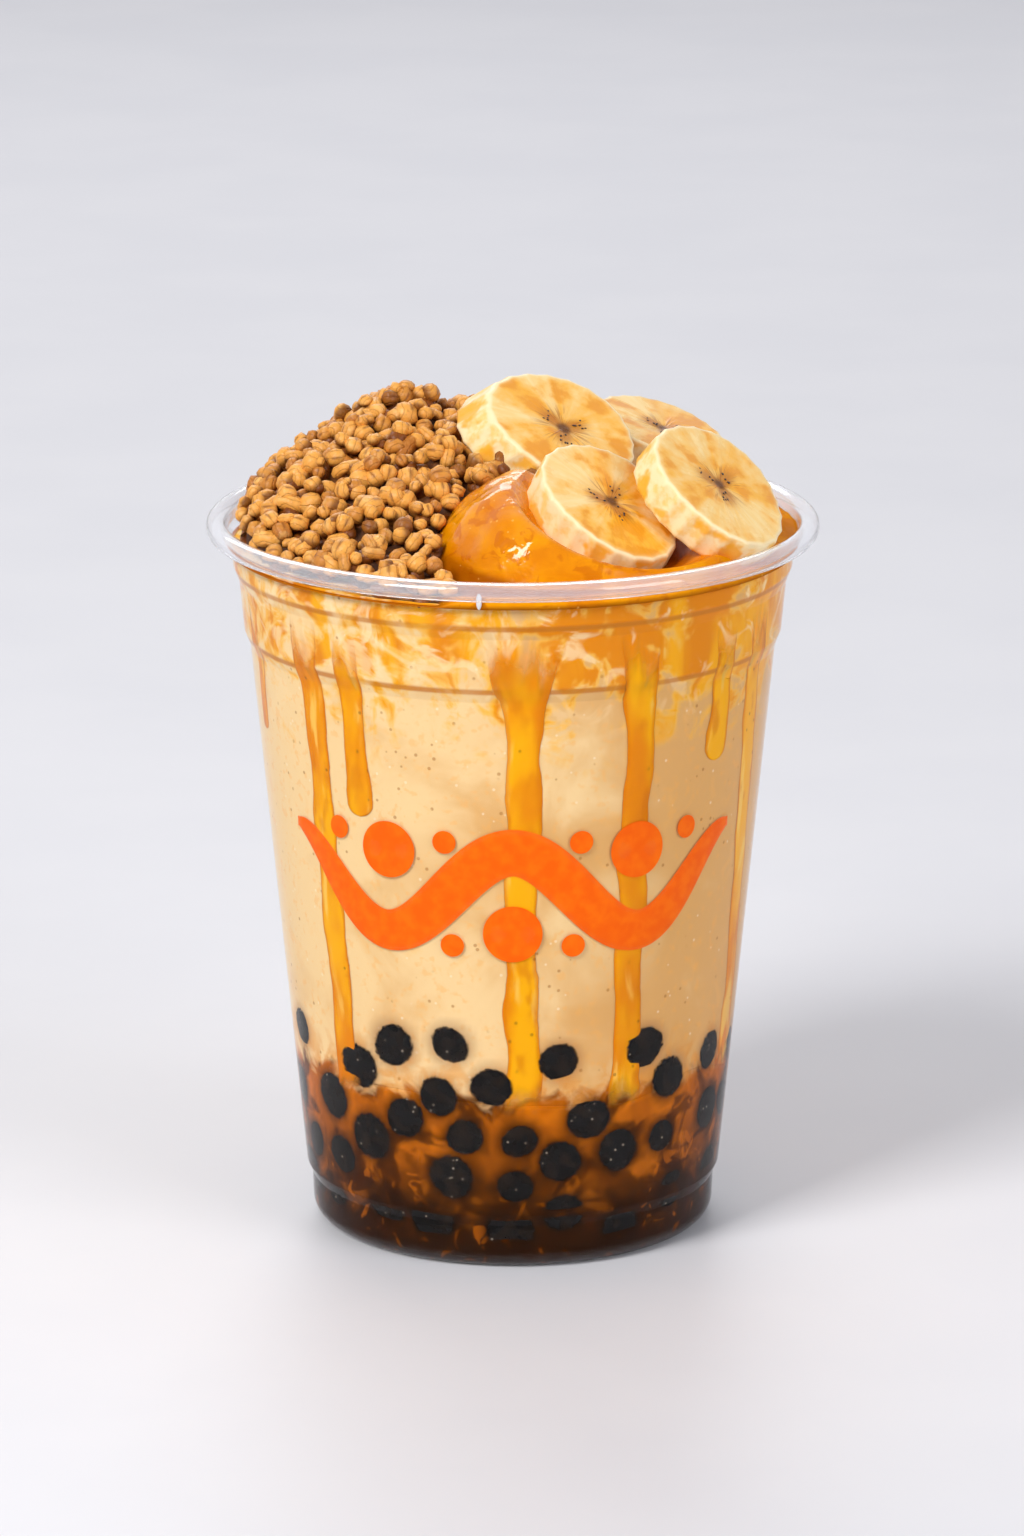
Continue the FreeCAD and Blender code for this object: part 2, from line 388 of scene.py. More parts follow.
def inset(points, depth):
    """The line moved to its left, which is into the cup."""
    moved = []
    last = len(points) - 1
    for i, spot in enumerate(points):
        along = (points[min(i + 1, last)] - points[max(i - 1, 0)]).normalized()
        moved.append(Vector((spot.x - depth * along.y, spot.y + depth * along.x)))
    moved[0].x = 0
    return moved


def wall_line():
    """Outside of the wall, from the middle of the floor up to where the lip starts to roll."""
    upper = LIP_RADIUS - 4.15
    lower = upper - 1.05
    body = lower - 1.7
    foot = 32.75
    neck = MOUTH_RADIUS + WALL
    upper_ledge, lower_ledge = LEDGES
    return rounded([
        (0, 3, 0),
        (25.5, 3, 1.2),
        (27.5, 0, 0.8),
        (32.5, 0, BASE_ROUND),
        (foot, 7.4, 0.3),
        (foot + 0.85, 9.3, 0.9),
        (body, lower_ledge - 2.5, 0.8),
        (body + 0.95, lower_ledge, 1.2),
        (lower, upper_ledge - 2.5, 0.6),
        (lower + 0.95, upper_ledge, 1.0),
        (upper, CUP_HEIGHT - 4.3, 0.5),
        (neck, CUP_HEIGHT - 3.2, 0.5),
        (neck, CUP_HEIGHT - CURL_RADIUS, 0),
    ])


WALL_LINE = wall_line()


def wall_radius(height):
    """Radius of the outside of the wall at a height."""
    for low, high in zip(WALL_LINE, WALL_LINE[1:]):
        if low.x > BASE_ROUND and low.y <= height <= high.y and high.y > low.y:
            return low.lerp(high, (height - low.y) / (high.y - low.y)).x
    return MOUTH_RADIUS


def wall_place(arc, height, depth):
    """A place behind the outside of the wall: arc runs from the front round to the right."""
    radius = wall_radius(height)
    turn = arc / radius
    return Vector(((radius - depth) * math.sin(turn), (depth - radius) * math.cos(turn), height))


def parted(line, level):
    """The parts of a wall line below and above a level, both with the point at that level."""
    for i in range(1, len(line)):
        low, high = line[i - 1], line[i]
        if low.x > BASE_ROUND and low.y < level <= high.y:
            middle = low.lerp(high, (level - low.y) / (high.y - low.y))
            return line[:i] + [middle], [middle] + line[i:]
    raise ValueError(f"the wall doesn't reach a level of {level}")


def soft(share):
    """An even ease from 0 to 1."""
    share = min(1, max(0, share))
    return share * share * (3 - 2 * share)


# ---- cup ----

def clear_plastic(settings):
    """Clear plastic that lets the lamps' light through to what it holds."""
    finish = Finish("clear_plastic")
    moulding = finish.noise(14, 2, finish.stretched((1, 1, 0.35)))
    waves = finish.bump(moulding, 0.12, 0.35)
    height = finish.height()
    wall = finish.principled(
        base_color=settings.plastic, roughness=0.03, ior=1.2, transmission_weight=1.0, normal=waves)
    thick = finish.principled(
        base_color=settings.plastic, roughness=0.04, ior=1.5, transmission_weight=1.0, normal=waves)
    lip = finish.principled(
        base_color=settings.plastic, roughness=0.07, ior=1.42, transmission_weight=0.9, normal=waves)
    foot = finish.step(height, 3.2, 1.6)
    neck = finish.step(height, CUP_HEIGHT - 4.4, CUP_HEIGHT - 2.6)
    lower = finish.shader_between(foot, wall, thick)
    shell = finish.shader_between(neck, lower, lip)
    gone = finish.node("ShaderNodeBsdfTransparent")
    through = finish.larger(finish.ray("Shadow"), finish.ray("Diffuse"))
    return finish.close(finish.shader_between(through, shell, gone))


def mark_finish(settings):
    finish = Finish("moulding_mark")
    cloud = finish.noise(1.5, 2)
    body = finish.mix(finish.step(cloud, 0.3, 0.7), settings.plastic, paint(236, 238, 246))
    return finish.finished(
        base_color=body, roughness=0.2, transmission_weight=0.4, normal=finish.bump(cloud, 0.2, 0.1))


def lip_roll(steps=22):
    """The arc of the lip, from the top of the wall over and down to its free edge."""
    centre = Vector((LIP_RADIUS - CURL_RADIUS, CUP_HEIGHT - CURL_RADIUS))
    roll = []
    for i in range(1, steps + 1):
        turn = math.pi + (CURL_END - math.pi) * i / steps
        roll.append(centre + (CURL_RADIUS - WALL) * Vector((math.cos(turn), math.sin(turn))))
    return roll


class SHAKE_OT_cup(bpy.types.Operator):
    """Make the clear cup with its ledges and rolled lip"""
    bl_idname = "shake.cup"
    bl_label = "Cup"

    def execute(self, context):
        settings = context.scene.shake_cup
        bm = revolve(filled_in(WALL_LINE, 4) + lip_roll(), settings.turns)
        # this open shape's faces come out pointing into the cup; turned, they let its skin grow inwards
        bmesh.ops.reverse_faces(bm, faces=bm.faces)
        cup = settle(bm, "cup_shell", clear_plastic(settings), ["cup"])
        skin = cup.modifiers.new("skin", "SOLIDIFY")
        skin.thickness = WALL * MM
        skin.offset = -1
        skin.use_even_offset = True

        # the small mark where the moulding was filled, just proud of the wall under the lip
        bm = bmesh.new()
        bmesh.ops.create_icosphere(bm, subdivisions=3, radius=1)
        bmesh.ops.scale(bm, vec=MARK_HALF_SIZE, verts=bm.verts)
        bmesh.ops.translate(bm, vec=wall_place(*MARK_PLACE, -0.1), verts=bm.verts)
        settle(bm, "moulding_mark", mark_finish(settings))
        return {"FINISHED"}


# ---- printed pattern ----

def ribbon(bm, path, width, stations, depth, across=6):
    """A strip on the wall: path gives (arc, height) and width its half width, along 0 to 1."""
    layer = number_layer(bm, "across")
    grid = bmesh.ops.create_grid(bm, x_segments=across, y_segments=stations, size=1)
    for vert in grid["verts"]:
        side, share = vert.co.x, (vert.co.y + 1) / 2
        here = path(share)
        heading = (path(share + 0.002) - path(share - 0.002)).normalized()
        spot = here + side * width(share, side) * Vector((-heading.y, heading.x))
        edge = 1 if abs(side) > 0.99 or share in (0, 1) else 0
        vert[layer] = abs(side)
        vert.co = wall_place(spot.x, spot.y, depth + edge * TUCK)


def disc_on_wall(bm, arc, height, radius, depth, steps=40):
    """A round spot on the wall."""
    ring = bmesh.ops.create_circle(bm, cap_ends=True, cap_tris=True, radius=radius, segments=steps)
    for vert in ring["verts"]:
        vert.co = wall_place(arc + vert.co.x, height + vert.co.y, depth)


def print_ink(settings):
    finish = Finish("print_ink")
    patchy = finish.noise(2.2, 4)
    ink = finish.mix(finish.step(patchy, 0.35, 0.7), settings.print_colour, paint(255, 112, 4))
    pits = finish.noise(0.5, 2)
    return finish.finished(
        base_color=ink, roughness=finish.step(pits, 0.2, 0.9) * 0.12 + 0.3, specular_ior_level=0.1,
        normal=finish.bump(pits, 0.15, 0.03))


PRINT_LEVEL = 64.0
PRINT_HALF_LENGTH = 41.0
PRINT_HALF_WIDTH = 3.9
WAVES = 2
WAVE_RISE = 7.2
SPOT_OFFSET = 6.4           # from the middle of the print into a wave's hollow
SPOT_RADIUS = 4.7
SMALL_SPOT_OFFSET = (9.6, 8.6)    # along and across from a large spot's middle line
SMALL_SPOT_RADIUS = 1.9


def wave(share):
    lift = WAVE_RISE * math.cos(2 * math.pi * WAVES * (share - 0.5))
    return Vector((PRINT_HALF_LENGTH * (2 * share - 1), PRINT_LEVEL + lift))


def wave_width(share, side):
    """Half width of the band, the same on both sides, swelling from its two ends."""
    return PRINT_HALF_WIDTH * max(0.02, math.sin(math.pi * min(1, max(0, share)))) ** 0.4


class SHAKE_OT_print(bpy.types.Operator):
    """Make the printed pattern on the front: a wavy band with spots over and under it"""
    bl_idname = "shake.print"
    bl_label = "Print"

    def execute(self, context):
        bm = bmesh.new()
        ribbon(bm, wave, wave_width, 160, PRINT_DEPTH)
        along, over = SMALL_SPOT_OFFSET
        for i in range(1, 2 * WAVES):
            arc = PRINT_HALF_LENGTH * (i / WAVES - 1)
            hollow = -1 if (i + WAVES) % 2 == 0 else 1
            disc_on_wall(bm, arc, PRINT_LEVEL + SPOT_OFFSET * hollow, SPOT_RADIUS, PRINT_DEPTH)
            for side in (-1, 1):
                spot = (arc + along * side, PRINT_LEVEL + over * hollow)
                disc_on_wall(bm, *spot, SMALL_SPOT_RADIUS, PRINT_DEPTH)
        settle(bm, "print_pattern", print_ink(context.scene.shake_cup))
        return {"FINISHED"}


# ---- drink ----

PEARL_HALF_THICKNESS = 0.7
PEARL_SPREAD = 1.48        # how much wider a ball is made, as its finish cuts away its edges
PEARL_TRIES = 2600

Pearl = collections.namedtuple("Pearl", "arc height radius")


def pearl_places(settings):
    """Pearls scattered against the wall, thick in the syrup and a few above it."""
    chance = random.Random(21)
    spacing = settings.pearl_spacing / MM
    mean = settings.pearl_radius / MM
    around = 2 * math.pi * PEARL_WALL
    pearls = []
    for _ in range(PEARL_TRIES):
        height = chance.uniform(5.5, 38.5)
        if height > 27 and chance.random() < (height - 27) / 12.5:
            continue
        arc = chance.uniform(-around / 2, around / 2)
        radius = mean * chance.uniform(0.8, 1.14)
        crowded = False
        for other in pearls:
            step = (arc - other.arc + around / 2) % around - around / 2
            if math.hypot(step, height - other.height) < spacing * chance.uniform(0.92, 1.12):
                crowded = True
                break
        if not crowded:
            pearls.append(Pearl(arc, height, radius))
    return pearls


def swell(x, y):
    """How far the syrup's top rises or falls at a place."""
    wave = math.sin(x / 9 + 0.6) * math.cos(y / 11) + 0.5 * math.sin((x + y) / 6)
    return 1.6 * wave


def lift_layer(bm):
    """Moves what is near the top of the syrup up and down with it."""
    for vert in bm.verts:
        fade = soft(1 - abs(vert.co.z - LAYER_LEVEL) / LAYER_REACH)
        vert.co.z += fade * swell(vert.co.x, vert.co.y)


def mark_pearls(bm, pearls):
    """Keeps how near each place is to a pearl, for the shade round it."""
    layer = bm.verts.layers.float.new("near_pearl")
    spots = [(wall_place(pearl.arc, pearl.height, FILL_DEPTH), pearl.radius) for pearl in pearls]
    for vert in bm.verts:
        if vert.co.z < 46 and math.hypot(vert.co.x, vert.co.y) > 25:
            gap = min((vert.co - spot).length - radius for spot, radius in spots)
            vert[layer] = soft(1 - (gap + 0.4) / 2.6)


def drink_finish(settings):
    """Creamy shake over amber syrup, stained where they meet."""
    finish = Finish("drink")
    height = finish.height()
    near = finish.attribute("near_pearl")
    broad = finish.noise(17, 4, distortion=0.6)
    fine = finish.noise(4.2, 5, distortion=0.8)
    drawn = finish.noise(9, 4, finish.stretched((1, 1, 0.32)), distortion=0.9)
    grain = finish.noise(1.1, 2)

    across = finish.part("X")
    # cream is laid more on the left and the darker shake more on the right: painted light from the key lamp
    # on the left, over random clouds
    clouds = finish.step(broad + across * 8, 0.3, 0.68)
    flecks = finish.step(finish.noise(1.5, 3), 0.56, 0.68)
    specks = finish.step(finish.cells(2.2), 0.16, 0.1) * finish.step(finish.noise(5, 1), 0.45, 0.55)
    bubbles = finish.step(finish.cells(3.1), 0.1, 0.06)
    shake = finish.layered(
        finish.mix(clouds, settings.cream, settings.shake),
        (finish.step(fine, 0.54, 0.78) * 0.3, paint(248, 184, 96)),
        (flecks * 0.32, paint(246, 176, 86)),
        (specks * 0.6, paint(178, 112, 48)),
        (bubbles * 0.4, paint(255, 240, 208)))

    # sauce smeared over the inside of the wall under the lip
    upper = finish.step(height, 84, 110)
    strokes = finish.noise(6, 5, finish.stretched((1, 1, 0.5)), distortion=1.1)
    swirls = finish.noise(9, 6, finish.stretched((0.8, 0.8, 1.2)), distortion=1.8)
    spread = strokes * 0.5 + swirls * 0.5 + upper * 0.15 + across * 0.8
    low_edge = finish.step(height + swirls * 14, 90, 102)
    stain = finish.step(spread, 0.53, 0.61) * low_edge
    sauce = finish.mix(finish.step(drawn, 0.4, 0.62), paint(248, 170, 14), paint(228, 130, 0))
    smear = finish.step(spread, 0.58, 0.66) * low_edge
    eddies = finish.noise(7, 5, finish.stretched((0.9, 0.9, 1.1), (0.1, 0, 0)), 1.6)
    whirl = finish.step(eddies, 0.54, 0.66) * upper
    shake = finish.layered(
        shake,
        (stain * 0.8, paint(250, 188, 70)),
        (smear * 0.9, sauce),
        (whirl * 0.75, paint(254, 224, 172)))

    # the ledges show as thin dark lines over the shake: painted shade where the wall steps in
    for ledge in LEDGES:
        line = finish.step(finish.maths("ABSOLUTE", height - (ledge - 0.6)), 0.65, 0.2)
        shake = finish.mix(line * finish.step(broad, 0.25, 0.5) * 0.8, shake, paint(200, 118, 36))

    # syrup, darker towards the bottom
    depth = finish.step(height + fine * 14 - 7, 30, 7)
    glow = finish.step(finish.noise(7, 5, distortion=0.8), 0.5, 0.64) * finish.step(height, 2, 22)
    dusk = finish.step(finish.noise(8, 5, distortion=0.9), 0.5, 0.64)
    veins = finish.step(finish.noise(3.6, 5, distortion=1.4), 0.6, 0.68)
    syrup = finish.layered(
        finish.mix(depth, settings.syrup, settings.deep_syrup),
        (glow * 0.75, paint(216, 116, 8)),
        (dusk * 0.8, paint(60, 24, 2)),
        (veins * 0.45, paint(206, 108, 10)),
        (near * 0.8, paint(34, 13, 2)),
        (finish.step(height + fine * 5, 9, 3) * 0.7, paint(30, 12, 4)))

    # where they meet, the shake is stained and shaded round the pearls
    border = height + (finish.noise(5.5, 4, distortion=0.8) - 0.5) * 11
    seep = finish.step(border, 40, 30) * 0.62
    body = finish.layered(
        shake,
        (near * 0.5, paint(152, 100, 68)),
        (seep * finish.step(fine, 0.4, 0.6), paint(224, 142, 44)),
        (finish.step(border, 31.5, 28.5), syrup))
    return finish.finished(
        base_color=body, roughness=0.5, specular_ior_level=0.0, normal=finish.bump(grain, 0.1, 0.05))


def pearl_finish(settings):
    finish = Finish("cooked_pearl")
    edge = finish.attribute("edge")
    cloudy = finish.noise(2.4, 3)
    glints = finish.step(finish.cells(1.3), 0.16, 0.09) * finish.step(finish.noise(2.6, 2), 0.48, 0.56)
    body = finish.layered(
        settings.pearl,
        (finish.step(cloudy, 0.4, 0.75), paint(30, 20, 12)),
        (finish.step(edge + (cloudy - 0.5) * 0.16, 0.24, 0.36), paint(40, 20, 8)),
        (glints * 0.5, paint(226, 206, 180)))
    dents = finish.noise(1.3, 3)
    kept = finish.step(edge + (finish.noise(0.7, 3) - 0.5) * 0.2, 0.34, 0.24)
    return finish.finished(
        base_color=body, roughness=0.14, specular_ior_level=0.12, alpha=kept,
        normal=finish.bump(dents, 0.8, 0.5))


def drink_piece(chain, settings, pearls, name, node, finish):
    bm = revolve(chain, settings.turns)
    lift_layer(bm)
    mark_pearls(bm, pearls)
    settle(bm, name, finish, [node])


def pearl_stand(pearl, spin):
    """Turns a flattened ball at the origin to lie against the inside of the wall."""
    slope = (wall_radius(pearl.height + 3) - wall_radius(pearl.height - 3)) / 6
    # the wall's nearest place along the pearl, which keeps it inside at the ledges
    room = min(wall_radius(pearl.height + step) - slope * step for step in (-3, -1.5, 0, 1.5, 3))
    stand = Matrix.Translation((0, PEARL_DEPTH + PEARL_HALF_THICKNESS - room, pearl.height))
    tilt = Matrix.Rotation(math.atan(slope), 4, "X") @ Matrix.Rotation(spin, 4, "Y")
    return Matrix.Rotation(pearl.arc / wall_radius(pearl.height), 4, "Z") @ stand @ tilt


def pearl_balls(pearls):
    """Cooked pearls as lumpy balls flattened against the wall, with edges that the finish softens."""
    chance = random.Random(5)
    bm = bmesh.new()
    edge = number_layer(bm, "edge")
    for pearl in pearls:
        ball = bmesh.ops.create_icosphere(bm, subdivisions=3, radius=1)["verts"]
        tall = chance.uniform(0.86, 1.1)
        seed = Vector((chance.uniform(0, 50), pearl.arc, 0))
        for vert in ball:
            vert[edge] = 1 - abs(vert.co.y)
            vert.co *= 1 + 0.09 * noise.noise(vert.co * 1.3 + seed)
        radius = pearl.radius * PEARL_SPREAD
        scale = Matrix.Diagonal((radius, PEARL_HALF_THICKNESS, radius * tall, 1))
        matrix = pearl_stand(pearl, chance.uniform(-3, 3)) @ scale
        bmesh.ops.transform(bm, matrix=matrix, verts=ball)
    return bm


class SHAKE_OT_drink(bpy.types.Operator):
    """Make the shake, the syrup under it and the cooked pearls against the wall"""
    bl_idname = "shake.drink"
    bl_label = "Drink"

    def execute(self, context):
        settings = context.scene.shake_drink
        pearls = pearl_places(settings)
        line = inset(filled_in(WALL_LINE, 1.1), FILL_DEPTH)
        below, above = parted(line, LAYER_LEVEL)
        above = parted(above, FILL_LEVEL)[0]
        finish = drink_finish(settings)
        top = [Vector((0, LAYER_LEVEL))]
        lid = [Vector((0, FILL_LEVEL))]
        drink_piece(below + top, settings, pearls, "syrup_fill", "pearl_syrup", finish)
        drink_piece(top + above + lid, settings, pearls, "shake_fill", "shake", finish)
        settle(pearl_balls(pearls), "cooked_pearls", pearl_finish(settings))
        return {"FINISHED"}


# ---- the slices' places, which the caramel keeps under ----

SLICE_RADIUS = 12.4
SLICE_THICKNESS = 6.2

Slice = collections.namedtuple("Slice", "across deep rise lean bearing size slant")
# the same places, turns and sizes as the solids that the slices stand for
SLICES = {
    "banana_slice_front": Slice(0.34, -0.48, 11.6, 37.8, -40, 0.99, (0.1, 0.0)),
    "banana_slice_right": Slice(0.715, -0.375, 13.2, 41.5, -34, 0.99, (0.0, 0.0)),
    "banana_slice_left": Slice(0.18, 0.09, 17.6, 32.6, -48, 1.04, (-0.42, -0.36)),
    "banana_slice_back": Slice(0.54, 0.60, 12.4, 20.3, -26, 0.93, (0.0, 0.0)),
}


def slice_place(cut):
    """Turns a slice's own axes, with its cut face at height 0, to where it lies."""
    spot = Vector((cut.across * MOUTH_RADIUS, cut.deep * MOUTH_RADIUS, FILL_LEVEL + cut.rise))
    swing = Matrix.Rotation(math.radians(cut.bearing), 4, "Z")
    tip = Matrix.Rotation(math.radians(cut.lean), 4, "Y")
    return Matrix.Translation(spot) @ swing @ tip


def underside(cut):
    """The middle and the normal of a slice's lower face, and its radius."""
    place = slice_place(cut)
    face = place.to_3x3() @ Vector((0, 0, 1))
    return place @ Vector((0, 0, -SLICE_THICKNESS)), face, SLICE_RADIUS * cut.size


UNDERSIDES = [underside(cut) for cut in SLICES.values()]


# ---- caramel ----

RUN_NARROWING = 24.0       # over this much of its length a run goes from its first width to its last

Run = collections.namedtuple("Run", "bearing foot_bearing top foot width foot_width seed")
# caramel run down inside the wall: bearing in degrees round from the front, heights and half widths
RUNS = [
    Run(-71, -73, 111, 84, 2.1, 1.2, 1),
    Run(-49, -48, 111, 25, 3.0, 2.3, 2),
    Run(-37.5, -37, 111, 75, 2.4, 2.0, 3),
    Run(2.6, 2.2, 111, 24, 7.0, 2.4, 4),
    Run(28, 29.8, 111, 25, 3.0, 2.4, 5),
    Run(51.5, 51.2, 111, 82.4, 2.4, 2.2, 6),
    Run(63, 74, 111, 25, 2.8, 2.4, 7),
    Run(98, 96, 111, 64, 2.6, 2.0, 8),
    Run(123, 124, 111, 26, 2.8, 2.2, 9),
    Run(151, 150, 111, 78, 2.2, 2.0, 10),
    Run(176, 177, 111, 42, 3.6, 2.4, 11),
    Run(-150, -151, 111, 70, 2.4, 2.0, 12),
    Run(-122, -121, 111, 26, 3.0, 2.2, 13),
    Run(-97, -98, 111, 57, 2.6, 2.0, 14),
]


def caramel_run(bm, run):
    """One run, wide where it leaves the rim and round at its foot."""
    length = run.top - run.foot

    def path(share):
        height = run.top - length * share
        bearing = run.bearing + (run.foot_bearing - run.bearing) * share
        wander = 0.5 * noise.noise(Vector((height / 16, run.seed * 7.3, 0)))
        return Vector((math.radians(bearing) * wall_radius(height) + wander, height))

    def width(share, side):
        fallen = length * share
        mean = run.foot_width + (run.width - run.foot_width) * soft(1 - fallen / RUN_NARROWING)
        uneven = 1.16 + 0.3 * noise.noise(Vector((fallen / 7, run.seed * 3.1, 0.7 * side)))
        left = max(0, length * (1 - share))
        end = math.sqrt(max(0, 1 - (1 - min(1, left / mean)) ** 2))
        bead = 1 + 0.22 * math.exp(-((left - 4) / 4) ** 2)
        return mean * uneven * max(0.04, end) * bead

    ribbon(bm, path, width, 120, RUN_DEPTH, across=10)


def run_finish(settings):
    finish = Finish("caramel_run")
    across = finish.attribute("across")
    drawn = finish.noise(5, 4, finish.stretched((1, 1, 0.22)), distortion=0.7)
    clouds = finish.noise(9, 3, finish.stretched((1, 1, 0.4)))
    rough = finish.noise(3.2, 4, finish.stretched((1, 1, 0.45)))
    height = finish.height()
    ragged = across + (rough - 0.5) * 0.5
    specks = finish.step(finish.cells(3.0), 0.12, 0.07)
    body = finish.layered(
        settings.runs,
        (finish.step(clouds, 0.4, 0.62), paint(232, 134, 0)),
        # pale streaks drawn along the run: painted highlights
        (finish.step(drawn, 0.56, 0.66) * 0.7, paint(253, 206, 96)),
        (finish.step(rough, 0.55, 0.68) * 0.5, paint(214, 112, 0)),
        (finish.step(ragged, 0.62, 0.86) * 0.75, paint(218, 118, 2)),
        (specks * 0.5, paint(120, 56, 10)))
    relief = finish.bump(finish.step(ragged, 0.9, 0.4), 0.5, 0.25)
    ends = finish.step(height + drawn * 20, 116, 106) * finish.step(height + rough * 8, 31, 36)
    kept = finish.step(ragged, 0.93, 0.87) * ends
    return finish.finished(
        base_color=body, roughness=0.3, specular_ior_level=0.04, alpha=kept, normal=relief)


DOME_PLACE = Vector((6.0, -21.0))
DOME_REACH = (19.0, 30.0)    # to the left and right
DOME_DEPTH = (19.0, 20.0)    # to the front and back
DOME_HEIGHT = 14.6
MOUND_PLACE = Vector((0.39, 0.22)) * MOUTH_RADIUS
MOUND_REACH = 15.0
MOUND_HEIGHT = 5.5
POOL_HEIGHT = 0.9          # of the pool over the shake, away from the dome and the mound
POOL_SUNK = 0.4            # how far the pool's underside lies below the top of the shake
SLICE_SINK = 0.9           # how far the slices sink into the caramel
CLIMB = 0.9                # how steeply the caramel may rise beside a slice
# discs that the caramel covers: middle and radius
CARAMEL_DISCS = [
    (Vector((0.27, -0.66)) * MOUTH_RADIUS, 25.0),
    (Vector((1.53, -0.22)) * MOUTH_RADIUS, 60.0),
]


def caramel_height(x, y):
    """Top of the caramel: one dome beside the granola, a low mound under the slices and a pool."""
    mound_fall = (Vector((x, y)) - MOUND_PLACE).length_squared / (2 * MOUND_REACH ** 2)
    across = (x - DOME_PLACE.x) / DOME_REACH[0 if x < DOME_PLACE.x else 1]
    deep = (y - DOME_PLACE.y) / DOME_DEPTH[0 if y < DOME_PLACE.y else 1]
    dome = DOME_HEIGHT * max(0, 1 - across ** 2 - deep ** 2) ** 0.55
    rise = POOL_HEIGHT + MOUND_HEIGHT * math.exp(-mound_fall) + dome
    ripple = 0.9 * noise.noise(Vector((x / 6, y / 6, 3))) + 0.4 * noise.noise(Vector((x / 2.8, y / 2.8, 9)))
    outside = min((Vector((x, y)) - middle).length - radius for middle, radius in CARAMEL_DISCS)
    kept = soft(1 - outside / 3)
    top = FILL_LEVEL + (rise + POOL_SUNK + ripple * min(1, rise / 3)) * kept - POOL_SUNK
    for under, face, radius in UNDERSIDES:
        level = under.z - (face.x * (x - under.x) + face.y * (y - under.y)) / face.z
        gap = (Vector((x, y, level)) - under).length - radius
        top = min(top, level + SLICE_SINK + CLIMB * max(0, gap))
    return max(top, FILL_LEVEL - POOL_SUNK + 0.1)


def caramel_finish(settings):
    finish = Finish("caramel")
    height = finish.height()
    broad = finish.noise(10, 3, distortion=0.8)
    ripples = finish.noise(4, 3, distortion=0.5)
    fine = finish.noise(1.4, 3)
    deep = finish.step(height, FILL_LEVEL + 7.5, FILL_LEVEL + 2)
    veins = finish.step(finish.noise(4, 4, distortion=1.4), 0.55, 0.64)
    # the pool's rim, which lies furthest from the middle of the cup's foot, stays light
    away = finish.node("ShaderNodeVectorMath", {"operation": "LENGTH"}, {0: finish.place()}, output=1)
    inside = finish.step(away, 0.1216, 0.1204)
    bubbles = finish.step(finish.cells(1.9), 0.13, 0.08)
    body = finish.layered(
        settings.caramel,
        (finish.step(broad, 0.4, 0.68), paint(238, 152, 2)),
        (veins * 0.55, paint(198, 98, 0)),
        (deep * inside * 0.85, settings.deep_caramel),
        (bubbles * 0.4, paint(255, 196, 96)))
    relief = finish.bump(broad + ripples * 0.3 + fine * 0.04, 0.4, 1.6)
    glossy = finish.principled(
        base_color=body, roughness=0.04 + deep * 0.3, specular_ior_level=0.5, normal=relief)
    dull = finish.principled(
        base_color=body, roughness=0.5, specular_ior_level=0.0, normal=relief)
    return finish.close(finish.shader_between(deep * 0.9, glossy, dull))


class SHAKE_OT_sauce(bpy.types.Operator):
    """Make the caramel over the shake and the runs inside the wall"""
    bl_idname = "shake.sauce"
    bl_label = "Caramel"

    def execute(self, context):
        settings = context.scene.shake_sauce
        reach = wall_radius(FILL_LEVEL + 1) - FILL_DEPTH
        rings = 84
        chain = [Vector((reach * i / rings, 0)) for i in range(rings + 1)]
        bm = revolve(chain + [Vector((reach, -1)), Vector((0, -1))], settings.turns)
        for vert in bm.verts:
            if vert.co.z > -0.5:
                vert.co.z = caramel_height(vert.co.x, vert.co.y)
            else:
                vert.co.z = FILL_LEVEL - POOL_SUNK
        bmesh.ops.recalc_face_normals(bm, faces=bm.faces)
        settle(bm, "caramel_pool", caramel_finish(settings), ["caramel"])
        bm = bmesh.new()
        for run in RUNS:
            caramel_run(bm, run)
        bmesh.ops.recalc_face_normals(bm, faces=bm.faces)
        settle(bm, "caramel_runs", run_finish(settings))
        return {"FINISHED"}


# ---- granola ----

def node_tree(name):
    """A tree of a frame node's faces, in metres, to find its surface."""
    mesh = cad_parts[name].data
    spots = [vert.co.copy() for vert in mesh.vertices]
    return BVHTree.FromPolygons(spots, [tuple(face.vertices) for face in mesh.polygons])


def drop_on(tree, x, y):
    """The place and normal where something dropped at (x, y) lands, in millimetres, or None."""
    spot, normal, _, _ = tree.ray_cast(Vector((x * MM, y * MM, 0.3)), Vector((0, 0, -1)))
    return None if spot is None else (spot / MM, normal)


BEAD_NUMBERS = ("crease", "grain", "up")
BEAD_STRETCHES = [(1.2, 0.98, 0.95), (1.08, 1.0, 1.0), (1.0, 1.04, 0.98), (1.36, 0.88, 0.86)]
BEAD_SIZES = (0.74, 0.8, 0.88, 0.95, 1.0, 1.04, 1.1, 1.34)
BEAD_TRIES = 26000
CORE_SUNK = 3.4            # how far the core lies below the heap's outline
LIP_ROOM = 1.2             # kept free between the beads and the inside of the lip

# a layer of beads: how much wider than set they are spaced, how many of its radii each lies below
# the heap's outline, how much it is darkened as painted shade, and the seeds for their places and their
# turns
Layer = collections.namedtuple("Layer", "name spread sunk darker place_seed seed")
BEAD_LAYERS = [
    Layer("granola_beads", 1.0, 0.9, 0, 8, 31),
    Layer("granola_beads_under", 1.1, 2.3, 1, 9, 32),
]


